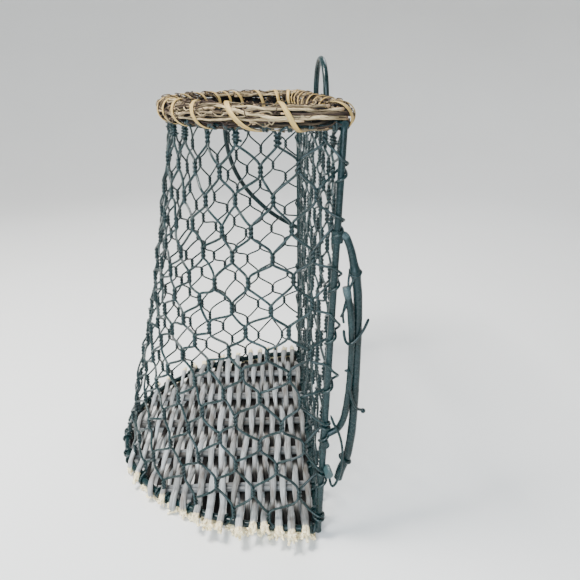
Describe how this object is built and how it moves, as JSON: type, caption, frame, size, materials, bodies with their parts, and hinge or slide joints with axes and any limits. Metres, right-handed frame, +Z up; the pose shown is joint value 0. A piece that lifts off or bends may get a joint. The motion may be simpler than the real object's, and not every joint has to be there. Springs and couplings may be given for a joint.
{
  "type": "fruit picker basket",
  "caption": "Flat-backed wire basket with a bowed front of hexagonal netting, woven willow base, cane-lashed twig rim, wall loop and a vine-like rear handle.",
  "frame": {"origin": "middle of the footprint's bounding box, on the plane that the basket stands on", "axes": "+Z up; the flat back and the hanging loop face +Y, the bowed front faces -Y, the handle is at the +X end of the back"},
  "size_m": [0.2556, 0.1648, 0.2898],
  "materials": {
    "green_paint": "semi-gloss dark green paint, worn",
    "netting_paint": "satin grey-green paint",
    "willow": "whitewashed willow with raw cut ends",
    "twigs": "dry vine twigs",
    "cane": "pale flat cane"
  },
  "bodies": {
    "root": {"arc_brace": "green_paint", "base_back_wire": "green_paint", "base_bow_wire": "green_paint", "base_stake_1": "willow", "base_stake_2": "willow", "base_stake_3": "willow", "base_stake_4": "willow", "base_stake_5": "willow", "cane_lashing": "cane", "handle_binding": "green_paint", "handle_branch": "green_paint", "handle_collar": "green_paint", "handle_knob": "green_paint", "handle_main": "green_paint", "handle_stub": "green_paint", "hanging_loop": "green_paint", "netting_back": "netting_paint", "netting_front": "netting_paint", "rim_back_wire": "green_paint", "rim_bow_wire": "green_paint", "side_rod_far": "green_paint", "side_rod_near": "green_paint", "tendril_foot": "green_paint", "tendril_lower": "green_paint", "tendril_upper": "green_paint", "twig_rim": "twigs", "weaver_01": "willow", "weaver_02": "willow", "weaver_03": "willow", "weaver_04": "willow", "weaver_05": "willow", "weaver_06": "willow", "weaver_07": "willow", "weaver_08": "willow", "weaver_09": "willow", "weaver_10": "willow", "weaver_11": "willow", "weaver_12": "willow", "weaver_13": "willow", "weaver_14": "willow", "weaver_15": "willow", "weaver_16": "willow", "weaver_17": "willow", "weaver_18": "willow", "weaver_19": "willow", "weaver_20": "willow", "weaver_21": "willow", "weaver_22": "willow", "weaver_23": "willow", "weaver_24": "willow", "weaver_25": "willow", "weaver_26": "willow", "weaver_27": "willow", "weaver_28": "willow", "weaver_29": "willow", "weaver_30": "willow", "weaver_31": "willow", "weaver_32": "willow", "weaver_33": "willow", "weaver_34": "willow"}
  },
  "joints": []
}
